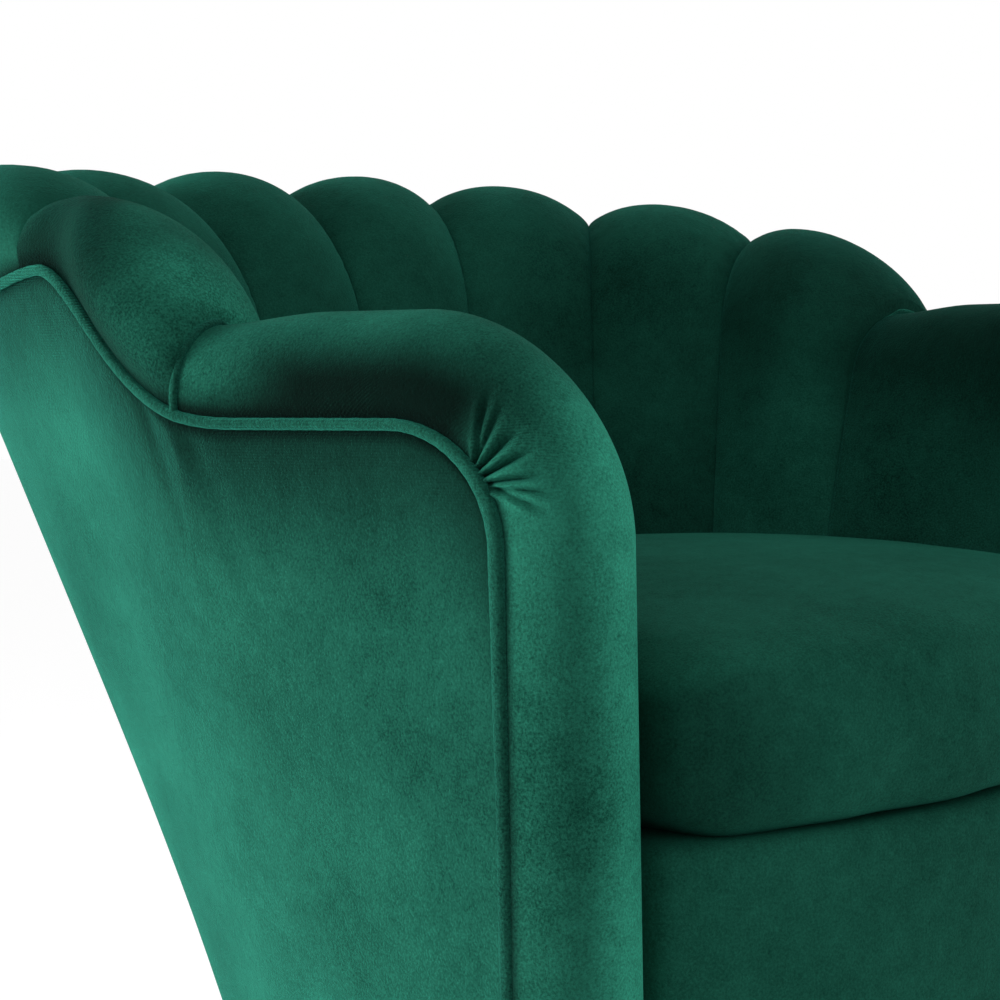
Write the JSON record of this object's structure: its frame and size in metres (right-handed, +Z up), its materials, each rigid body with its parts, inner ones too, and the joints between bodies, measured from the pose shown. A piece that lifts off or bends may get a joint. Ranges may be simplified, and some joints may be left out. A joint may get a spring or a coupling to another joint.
{
  "type": "upholstered armchair",
  "caption": "Velvet tub armchair with a scalloped, channelled back, rolled arms with pleated fronts, a loose seat cushion and tapered metal legs.",
  "frame": {"origin": "on the floor below the middle of the chair's bounding box", "axes": "+Z up, the chair faces -Y, +X to the right as seen from the front"},
  "size_m": [0.881, 0.8536, 0.7812],
  "materials": {
    "velvet": "short pile",
    "frame_wood": "rough",
    "plywood": "rough",
    "webbing": "woven",
    "lining": "non-woven",
    "leg_metal": "satin",
    "screw_steel": "plain",
    "glide_plastic": "matt"
  },
  "bodies": {
    "chair": {"back_channel_1": "velvet", "back_channel_2": "velvet", "back_channel_3": "velvet", "back_channel_4": "velvet", "back_channel_5": "velvet", "back_channel_6": "velvet", "back_channel_7": "velvet", "back_channel_8": "velvet", "back_channel_9": "velvet", "arm_pad_left": "velvet", "arm_pad_right": "velvet", "outer_cover_left": "velvet", "outer_cover_back": "velvet", "outer_cover_right": "velvet", "outer_welt": "velvet", "front_border": "velvet", "front_rail": "frame_wood", "side_rail_left": "frame_wood", "side_rail_right": "frame_wood", "corner_rail_left": "frame_wood", "corner_rail_right": "frame_wood", "back_rail": "frame_wood", "leg_block_front_left": "frame_wood", "leg_block_front_right": "frame_wood", "leg_block_back_left": "frame_wood", "leg_block_back_right": "frame_wood", "arm_post_left": "frame_wood", "arm_post_right": "frame_wood", "arm_rail_left": "frame_wood", "arm_rail_right": "frame_wood", "wing_post_left": "frame_wood", "wing_post_right": "frame_wood", "back_post_left": "frame_wood", "back_post_right": "frame_wood", "top_rib_left": "frame_wood", "top_rib_back": "frame_wood", "top_rib_right": "frame_wood", "deck_board": "plywood", "webbing_across": "webbing", "webbing_along": "webbing", "deck_cloth": "lining", "dust_cover": "lining", "leg_front_left": "leg_metal", "leg_front_right": "leg_metal", "leg_back_left": "leg_metal", "leg_back_right": "leg_metal", "leg_studs": "screw_steel", "leg_nuts": "screw_steel", "leg_glides": "glide_plastic"},
    "cushion": {"seat_cushion": "velvet"}
  },
  "joints": [
    {"name": "seat_cushion_lift", "type": "slide", "parent": "chair", "child": "cushion", "axis": [0, 0, 1], "range_m": [0, 0.46]}
  ]
}
